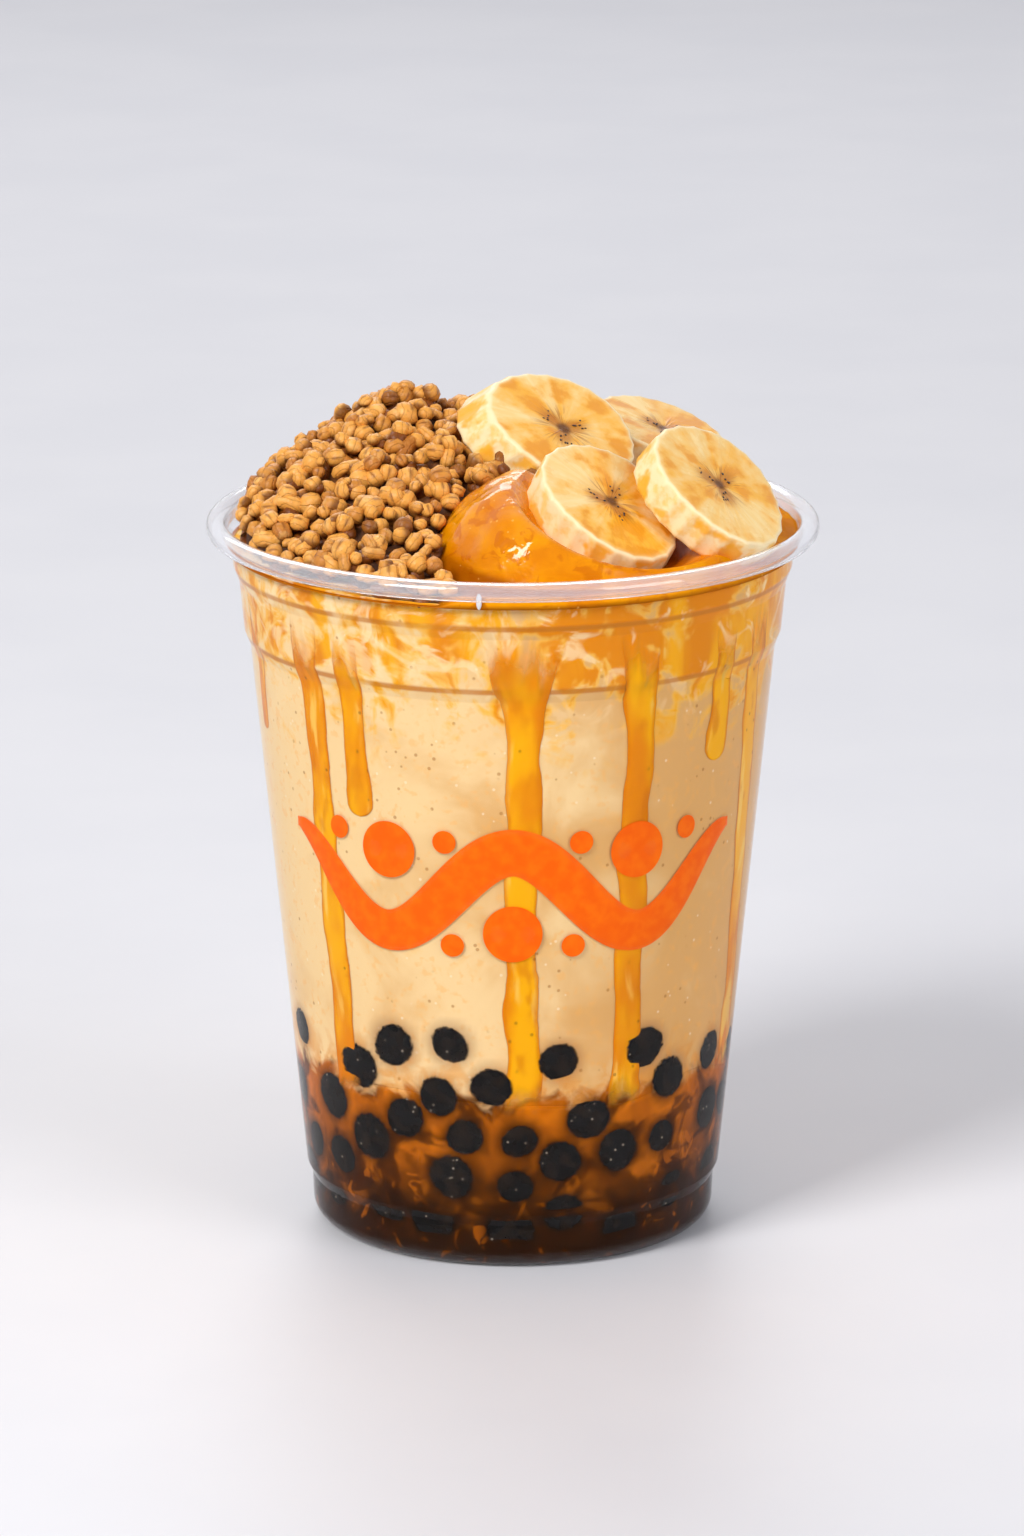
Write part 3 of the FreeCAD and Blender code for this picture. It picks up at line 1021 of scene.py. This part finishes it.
def bead_shape(kind):
    """One granola bead of about radius 1: a bean, a kernel, a nub or a twin."""
    bm = bmesh.new()
    bmesh.ops.create_icosphere(bm, subdivisions=2, radius=1)
    crease, grain, up = [number_layer(bm, name) for name in BEAD_NUMBERS]
    stretch = BEAD_STRETCHES[kind]
    for vert in bm.verts:
        x, y, z = vert.co
        groove = math.exp(-(y / 0.3) ** 2) * max(0, z) if kind in (0, 1) else 0
        waist = math.exp(-(x / 0.38) ** 2) if kind == 3 else 0
        lump = 0.24 * noise.noise(vert.co * 1.4 + Vector((kind * 9, 0, 0)))
        size = 1 - 0.2 * groove - 0.24 * waist + lump
        # how far into a crease or a twin's waist a corner lies, which the finish darkens as painted shade
        vert[crease] = min(1, groove + 0.6 * waist)
        vert[grain] = y
        # height within the bead, whose underside the finish darkens as painted shade
        vert[up] = z
        vert.co = Vector((x * stretch[0], y * stretch[1], z * stretch[2])) * size
    mesh = bpy.data.meshes.new("bead")
    bm.to_mesh(mesh)
    bm.free()
    return mesh


def bead_places(tree, spacing, seed):
    """Places on the heap, none nearer to another than the spacing."""
    chance = random.Random(seed)
    low, high = frame_box("granola_heap")
    taken = collections.defaultdict(list)
    places = []
    for _ in range(BEAD_TRIES):
        x = chance.uniform(low.x, high.x)
        y = chance.uniform(low.y, high.y)
        landed = drop_on(tree, x, y)
        if landed is None:
            continue
        spot, normal = landed
        if normal.z < 0.12:
            continue
        cell = tuple(int(part // spacing) for part in spot)
        around = [(i, j, k) for i in (-1, 0, 1) for j in (-1, 0, 1) for k in (-1, 0, 1)]
        near = (other for i, j, k in around for other in taken[cell[0] + i, cell[1] + j, cell[2] + k])
        if all((spot - other).length > spacing for other in near):
            taken[cell].append(spot)
            places.append((spot, normal))
    return places


def add_bead(bm, mesh, matrix, tone, layer):
    """Copies a bead in, turned and placed, with its tone kept at its corners."""
    first = len(bm.verts)
    bm.from_mesh(mesh)
    bm.verts.ensure_lookup_table()
    fresh = bm.verts[first:]
    for vert in fresh:
        vert[layer] = tone
    bmesh.ops.transform(bm, matrix=matrix, verts=fresh)


def granola_finish(settings):
    finish = Finish("granola")
    tone = finish.attribute("tone")
    crease = finish.attribute("crease")
    patch = finish.noise(2.2, 4)
    fine = finish.noise(0.45, 3)
    grain = finish.attribute("grain") + (patch - 0.5) * 0.5
    seams = finish.step(finish.maths("ABSOLUTE", finish.maths("SINE", grain * 4.2)), 0.24, 0.06)
    # low is each bead's underside, darkened as painted shade
    low = finish.step(finish.attribute("up") + (patch - 0.5) * 0.5, 0.35, -0.45)
    body = finish.layered(
        settings.baked,
        # tones of 1 and more belong to the under layer, which these coats darken as painted shade; below
        # that, tone is a random toast
        (finish.step(tone + (patch - 0.5) * 0.6, 0.5, 1.15), settings.toasted),
        (finish.step(patch, 0.52, 0.7) * 0.45, paint(255, 206, 126)),
        (seams * 0.3, paint(150, 82, 20)),
        # darker in each bead's crease and twin waist: painted shade
        (finish.step(crease, 0.35, 0.9) * 0.6, paint(130, 70, 20)),
        (finish.step(fine, 0.6, 0.72) * 0.35, paint(150, 90, 38)),
        (finish.step(tone, 0.965, 0.975) * 0.5, paint(96, 46, 6)),
        (low * 0.8, paint(104, 50, 6)),
        (finish.step(tone, 1, 1.01) * 0.6, paint(122, 62, 6)))
    return finish.finished(
        base_color=body, roughness=0.42, specular_ior_level=0.4,
        normal=finish.bump(fine * 0.4 + patch * 0.8 - seams * 0.3, 0.7, 0.4))


def core_shade_finish():
    # the core under the beads is coloured dark: painted shade that shows in the gaps between them
    finish = Finish("granola_core")
    lumps = finish.cells(2.4, "SMOOTH_F1")
    fine = finish.noise(0.8, 3)
    body = finish.mix(finish.step(lumps, 0.1, 0.6), paint(120, 68, 18), paint(60, 28, 6))
    body = finish.mix(finish.step(fine, 0.5, 0.7) * 0.4, body, paint(110, 62, 24))
    return finish.finished(
        base_color=body, roughness=0.7, normal=finish.bump(1 - lumps, 0.9, 1.2))


def granola_core(tree):
    """The heap under its beads: its outline let down and smoothed."""
    low, high = frame_box("granola_heap")
    core = bmesh.new()
    bmesh.ops.create_grid(core, x_segments=72, y_segments=84, size=0.5)
    lost = []
    for vert in core.verts:
        x = low.x + (vert.co.x + 0.5) * (high.x - low.x)
        y = low.y + (vert.co.y + 0.5) * (high.y - low.y)
        landed = drop_on(tree, x, y)
        if landed is None:
            lost.append(vert)
        else:
            vert.co = Vector((x, y, max(FILL_LEVEL - 0.5, landed[0].z - CORE_SUNK)))
    bmesh.ops.delete(core, geom=lost, context="VERTS")
    for _ in range(3):
        bmesh.ops.smooth_vert(core, verts=core.verts, factor=0.5, use_axis_z=True)
    return core


def bead_layer(tree, settings, layer):
    """One layer of beads on the heap, kept inside the lip."""
    chance = random.Random(layer.seed)
    mean = settings.bead / MM
    shapes = [bead_shape(kind) for kind in range(len(BEAD_STRETCHES))]
    bm = bmesh.new()
    tone = number_layer(bm, "tone")
    for name in BEAD_NUMBERS:
        number_layer(bm, name)
    for spot, normal in bead_places(tree, settings.spacing / MM * layer.spread, layer.place_seed):
        size = mean * chance.choice(BEAD_SIZES)
        # a random toast, raised for the under layer as painted shade
        toast_and_shade = chance.random() + layer.darker
        spin = Matrix.Rotation(chance.uniform(0, 2 * math.pi), 4, "Z")
        tip = Matrix.Rotation(chance.uniform(-0.7, 0.7), 4, "X")
        lean = normal.to_track_quat("Z", "Y").to_matrix().to_4x4()
        down = spot - normal * size * (layer.sunk + chance.uniform(-0.15, 0.35))
        room = MOUTH_RADIUS - LIP_ROOM - size
        away = math.hypot(down.x, down.y)
        if away > room:
            down.x *= room / away
            down.y *= room / away
        matrix = Matrix.Translation(down) @ lean @ spin @ tip @ Matrix.Scale(size, 4)
        add_bead(bm, chance.choice(shapes), matrix, toast_and_shade, tone)
    bmesh.ops.recalc_face_normals(bm, faces=bm.faces)
    return bm


class SHAKE_OT_granola(bpy.types.Operator):
    """Make the heap of granola: a core and two layers of loose beads over it"""
    bl_idname = "shake.granola"
    bl_label = "Granola"

    def execute(self, context):
        settings = context.scene.shake_granola
        tree = node_tree("granola_heap")
        settle(granola_core(tree), "granola_core", core_shade_finish(), ["granola_heap"])
        for layer in BEAD_LAYERS:
            bm = bead_layer(tree, settings, layer)
            settle(bm, layer.name, granola_finish(settings))
        return {"FINISHED"}


# ---- banana ----

FLUTES = 22
SEEDS_A_SLICE = 17
SEED_RADIUS = 0.17
SEED_REACH = (1.3, 4.3)    # nearest and furthest from the slice's middle


def slice_reach(turn, share, radius):
    """Distance from a slice's middle to its outline, fluted only near the skin side."""
    lobed = radius * (1 + 0.03 * math.cos(3 * turn + 0.5) + 0.03 * math.cos(2 * turn))
    flute = 0.3 * abs(math.cos(FLUTES * turn / 2)) * share ** 5
    return share * lobed - flute


def slice_chain():
    """Half of a slice's section: out over the face, round its edge and down to the underside."""
    face = [(share, 0.0) for share in (0, 0.06, 0.13, 0.2, 0.28, 0.37, 0.47, 0.58, 0.7, 0.82, 0.91, 0.965)]
    edge = [(0.985, -0.12), (0.997, -0.4), (1.0, -0.9)]
    side = [(1.0, -1.9), (1.0, -3.1), (1.0, -4.3), (1.0, -5.3)]
    under = [(0.995, -5.8), (0.98, -6.1), (0.95, -6.2), (0.5, -6.2), (0.0, -6.2)]
    return face + edge + side + under


def banana_slice(cut, number, turns):
    """One slice, in place, with its own face coordinates kept for its finish."""
    bm = revolve([Vector(spot) for spot in slice_chain()], turns)
    layers = {name: number_layer(bm, name) for name in ("face_x", "face_y", "side", "number")}
    radius = SLICE_RADIUS * cut.size
    for vert in bm.verts:
        share = math.hypot(vert.co.x, vert.co.y)
        turn = math.atan2(vert.co.y, vert.co.x)
        depth = vert.co.z
        vert[layers["face_x"]] = share * math.cos(turn)
        vert[layers["face_y"]] = share * math.sin(turn)
        vert[layers["side"]] = soft((-depth - 0.1) / 0.5)
        vert[layers["number"]] = number
        reach = slice_reach(turn, share, radius)
        spot = Vector((share * 3 * math.cos(turn), share * 3 * math.sin(turn), number))
        wobble = 0.18 * noise.noise(spot)
        hollow = -0.35 * math.exp(-(share / 0.22) ** 2) if depth > -1 else 0
        vert.co.x = reach * math.cos(turn) - depth * cut.slant[0]
        vert.co.y = reach * math.sin(turn) - depth * cut.slant[1]
        vert.co.z = depth + (hollow + min(0, wobble) if depth > -1 else 0)
    bmesh.ops.transform(bm, matrix=slice_place(cut), verts=bm.verts)
    return bm


def banana_finish(settings):
    """Cut banana: radial flesh, a three-part core and patches of caramel glaze."""
    finish = Finish("banana")
    x = finish.attribute("face_x")
    y = finish.attribute("face_y")
    side = finish.attribute("side")
    number = finish.attribute("number")
    away = finish.maths("SQRT", x * x + y * y) + 0.0001
    turn = finish.maths("ARCTAN2", y, x)
    rays = finish.vector(x / away, y / away, away * 0.25 + number)
    fibre = finish.pattern(rays, 9.0)
    sector = finish.pattern(rays, 1.5, 2.0)
    mottle = finish.pattern(finish.vector(x, y, number), 3.2)
    lobes = finish.maths("COSINE", turn * 3 + number)

    inner = finish.step(away + (mottle - 0.5) * 0.2, 0.52, 0.22)
    glaze = finish.step(sector * 0.65 + mottle * 0.45, 0.42, 0.64) * finish.step(away, 0.99, 0.86)
    pooled = finish.step(sector * 0.4 + mottle * 0.7, 0.56, 0.68) * finish.step(away, 0.99, 0.9)
    star = finish.step(away, lobes * 0.13 + 0.32, lobes * 0.09 + 0.12)
    threads = finish.step(fibre, 0.53, 0.6) * finish.step(away, 0.5, 0.2)
    heart = finish.step(away + (mottle - 0.5) * 0.12, 0.13, 0.04)
    rim = finish.step(away, 0.93, 0.975)
    flesh = finish.layered(
        settings.flesh,
        (finish.step(fibre, 0.4, 0.7) * 0.45, paint(252, 228, 176)),
        (finish.step(fibre, 0.5, 0.38) * 0.25, paint(240, 196, 116)),
        (inner * 0.5, settings.core),
        (glaze * 0.85, settings.glaze),
        (pooled * 0.6, paint(226, 136, 0)),
        (star * 0.75, paint(180, 108, 30)),
        (threads * 0.6, paint(156, 88, 24)),
        (heart * 0.85, paint(84, 44, 12)),
        (rim * 0.6, paint(255, 238, 200)))
    peel = finish.layered(
        paint(252, 234, 186),
        (finish.step(finish.noise(2.0, 3), 0.4, 0.7), paint(248, 212, 130)),
        (finish.step(finish.noise(5.5, 3), 0.5, 0.6) * 0.85, paint(246, 176, 24)))
    return finish.finished(
        base_color=finish.mix(side, flesh, peel), roughness=0.3 - glaze * 0.14,
        specular_ior_level=0.15, coat_weight=glaze * 0.35, coat_roughness=0.06,
        normal=finish.bump(fibre + mottle * 0.5, 0.3, 0.4))


def seed_finish():
    finish = Finish("banana_seed")
    spots = finish.noise(0.4, 2)
    body = finish.mix(finish.step(spots, 0.4, 0.7), paint(36, 22, 14), paint(78, 46, 24))
    return finish.finished(
        base_color=body, roughness=0.4, normal=finish.bump(spots, 0.3, 0.1))


def add_seeds(bm, place, number, chance):
    """Seeds along the three arms of a cut face's star, just proud of it."""
    for i in range(SEEDS_A_SLICE):
        arm = (i % 3) * 2 * math.pi / 3 - number / 3
        turn = arm + chance.uniform(-0.38, 0.38)
        away = chance.uniform(*SEED_REACH)
        ball = bmesh.ops.create_icosphere(bm, subdivisions=2, radius=SEED_RADIUS)["verts"]
        stretch = Matrix.Diagonal((chance.uniform(1.0, 1.7), 1.0, 0.6, 1))
        spot = Vector((away * math.cos(turn), away * math.sin(turn), -0.1))
        pose = Matrix.Translation(spot) @ Matrix.Rotation(turn, 4, "Z") @ stretch
        bmesh.ops.transform(bm, matrix=place @ pose, verts=ball)


class SHAKE_OT_banana(bpy.types.Operator):
    """Make the four slices of banana and the small seeds in their cut faces"""
    bl_idname = "shake.banana"
    bl_label = "Banana"

    def execute(self, context):
        settings = context.scene.shake_banana
        flesh = banana_finish(settings)
        chance = random.Random(12)
        seeds = bmesh.new()
        for number, (name, cut) in enumerate(SLICES.items()):
            bm = banana_slice(cut, number, settings.turns)
            settle(bm, name.replace("slice", "cut"), flesh, [name])
            add_seeds(seeds, slice_place(cut), number, chance)
        settle(seeds, "banana_seeds", seed_finish())
        return {"FINISHED"}


# ---- stage ----

# in metres and watts
LAMP_TARGET = Vector((0, 0, 0.07))
FILL_POWER = 8.5
BACK_POWER = 5.0
CAMERA_TARGET = Vector((0, 0, 0.06))
CAMERA_DISTANCE = 1.2
CAMERA_RISE = math.radians(15.75)
CAMERA_LENS = 173.9
CAMERA_SENSOR = 36
CAMERA_SHIFT = (-0.0005, 0.0556)


def lamp(name, size, power, spot, colour):
    data = bpy.data.lights.new(name, "AREA")
    data.shape = "RECTANGLE"
    data.size, data.size_y = size
    data.energy = power
    data.color = colour
    made = bpy.data.objects.new(name, data)
    made.location = spot
    made.rotation_euler = (LAMP_TARGET - Vector(spot)).to_track_quat("-Z", "Y").to_euler()
    bpy.context.scene.collection.objects.link(made)


def made_camera():
    data = bpy.data.cameras.new("camera")
    data.lens = CAMERA_LENS
    data.sensor_width = CAMERA_SENSOR
    data.shift_x, data.shift_y = CAMERA_SHIFT
    camera = bpy.data.objects.new("camera", data)
    away = Vector((0, -math.cos(CAMERA_RISE), math.sin(CAMERA_RISE)))
    camera.location = CAMERA_TARGET + CAMERA_DISTANCE * away
    camera.rotation_euler = (math.pi / 2 - CAMERA_RISE, 0, 0)
    bpy.context.scene.collection.objects.link(camera)
    return camera


def floor_finish(settings):
    finish = Finish("pale_floor")
    cloud = finish.noise(60, 4)
    body = finish.mix(finish.step(cloud, 0.3, 0.7) * 0.3, settings.floor, paint(214, 215, 222))
    return finish.finished(base_color=body, roughness=0.5)


def sky():
    """A pale world: bright behind the object, darker in its gloss towards the front, dim as a light."""
    finish = Finish("studio", "worlds")
    direction = finish.node("ShaderNodeTexCoord", output="Generated")
    back = finish.node("ShaderNodeSeparateXYZ", inputs={0: direction}, output="Y")
    ends = {"Value": back, "From Min": -0.2, "From Max": 0.45, "To Min": 0.22}
    room = finish.node("ShaderNodeMapRange", inputs=ends)
    gloss = finish.ray("Glossy")
    strength = finish.node("ShaderNodeMix", inputs={0: gloss, 2: 1.0, 3: room})
    light = finish.background(paint(250, 250, 255), 0.34)
    seen = finish.background(paint(240, 240, 245), strength)
    looked_at = finish.larger(finish.larger(finish.ray("Camera"), gloss), finish.ray("Transmission"))
    return finish.close(finish.shader_between(looked_at, light, seen), "ShaderNodeOutputWorld")


class SHAKE_OT_stage(bpy.types.Operator):
    """Make the floor, the lamps, the world and the camera"""
    bl_idname = "shake.stage"
    bl_label = "Stage"

    def execute(self, context):
        settings = context.scene.shake_stage
        bm = bmesh.new()
        bmesh.ops.create_grid(bm, x_segments=2, y_segments=2, size=3)
        mesh = bpy.data.meshes.new("floor")
        bm.to_mesh(mesh)
        bm.free()
        mesh.materials.append(floor_finish(settings))
        floor = bpy.data.objects.new("floor", mesh)
        context.scene.collection.objects.link(floor)

        context.scene.world = sky()
        lamp("key", (0.5, 0.7), settings.key_power, (-0.75, -0.85, 1.15), (1, 0.985, 0.96))
        lamp("fill", (0.8, 0.8), FILL_POWER, (1.1, -0.9, 0.7), (0.97, 0.98, 1))
        lamp("back", (0.9, 0.5), BACK_POWER, (-0.2, 1.2, 0.9), (1, 1, 1))
        context.scene.camera = made_camera()
        context.scene.view_settings.view_transform = "Standard"
        return {"FINISHED"}


class SHAKE_PT_panel(bpy.types.Panel):
    """Everything that makes up the drink"""
    bl_idname = "SHAKE_PT_panel"
    bl_label = "Protein shake"
    bl_space_type = "VIEW_3D"
    bl_region_type = "UI"
    bl_category = "Protein shake"

    def draw(self, context):
        for key, group in SETTINGS.items():
            box = self.layout.box()
            for name in group.__annotations__:
                box.prop(getattr(context.scene, key), name)
        for maker in MAKERS:
            self.layout.operator(maker.bl_idname)


MAKERS = [
    SHAKE_OT_cup,
    SHAKE_OT_print,
    SHAKE_OT_drink,
    SHAKE_OT_sauce,
    SHAKE_OT_granola,
    SHAKE_OT_banana,
    SHAKE_OT_stage,
]


def register():
    for group in (*SETTINGS.values(), *MAKERS, SHAKE_PT_panel):
        bpy.utils.register_class(group)
    for key, group in SETTINGS.items():
        setattr(bpy.types.Scene, key, bpy.props.PointerProperty(type=group))


def unregister():
    for key in SETTINGS:
        delattr(bpy.types.Scene, key)
    for group in (SHAKE_PT_panel, *MAKERS, *SETTINGS.values()):
        bpy.utils.unregister_class(group)


def main():
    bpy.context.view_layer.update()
    register()
    bpy.ops.shake.cup()
    bpy.ops.shake.print()
    bpy.ops.shake.drink()
    bpy.ops.shake.sauce()
    bpy.ops.shake.granola()
    bpy.ops.shake.banana()
    bpy.ops.shake.stage()


if __name__ == "__main__":
    main()
